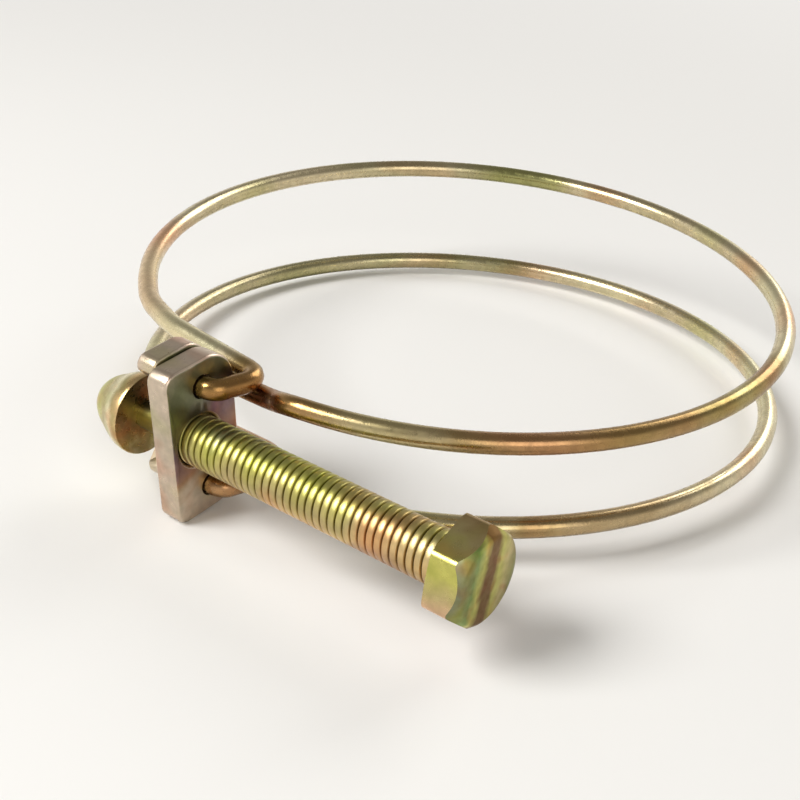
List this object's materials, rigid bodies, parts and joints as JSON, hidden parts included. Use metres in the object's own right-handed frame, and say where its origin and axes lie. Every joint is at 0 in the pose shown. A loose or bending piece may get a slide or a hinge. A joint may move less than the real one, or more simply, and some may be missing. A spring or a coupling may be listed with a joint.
{
  "type": "double wire hose clamp",
  "caption": "Screw clamp with paired round wires that hook into a tapped plate and a forked pressure plate; the hex screw pushes the plates apart to tighten the loops.",
  "frame": {"origin": "centre of the hose, halfway between the two wire loops", "axes": "+Z along the hose, +X along the screw from the domed cap to the hex head, the screw on the -Y side of the loops"},
  "size_m": [0.0855, 0.0945, 0.0202],
  "materials": {
    "wire": "zinc plated and yellow passivated, glossy",
    "plate": "zinc plated and yellow passivated, satin",
    "screw": "zinc plated and yellow passivated, glossy",
    "cap": "zinc plated and yellow passivated, glossy"
  },
  "bodies": {
    "clamp": {"nut_plate": "plate", "upper_wire": "wire", "lower_wire": "wire"},
    "pusher": {"pressure_plate": "plate"},
    "drive": {"screw": "screw", "end_cap": "cap"}
  },
  "joints": [
    {"name": "plate_slide", "type": "slide", "parent": "clamp", "child": "pusher", "axis": [-1, 0, 0], "range_m": [0, 0.0295], "deforming": ["upper_wire", "lower_wire"]},
    {"name": "screw_turn", "type": "hinge", "parent": "pusher", "child": "drive", "pos_m": [0, -0.0464, 0], "axis": [-1, 0, 0], "range_deg": [0, 10620], "deforming": ["upper_wire", "lower_wire"]}
  ],
  "couplings": [
    {"joint": "screw_turn", "follows": "plate_slide", "rad_per_m": 6283.2}
  ]
}
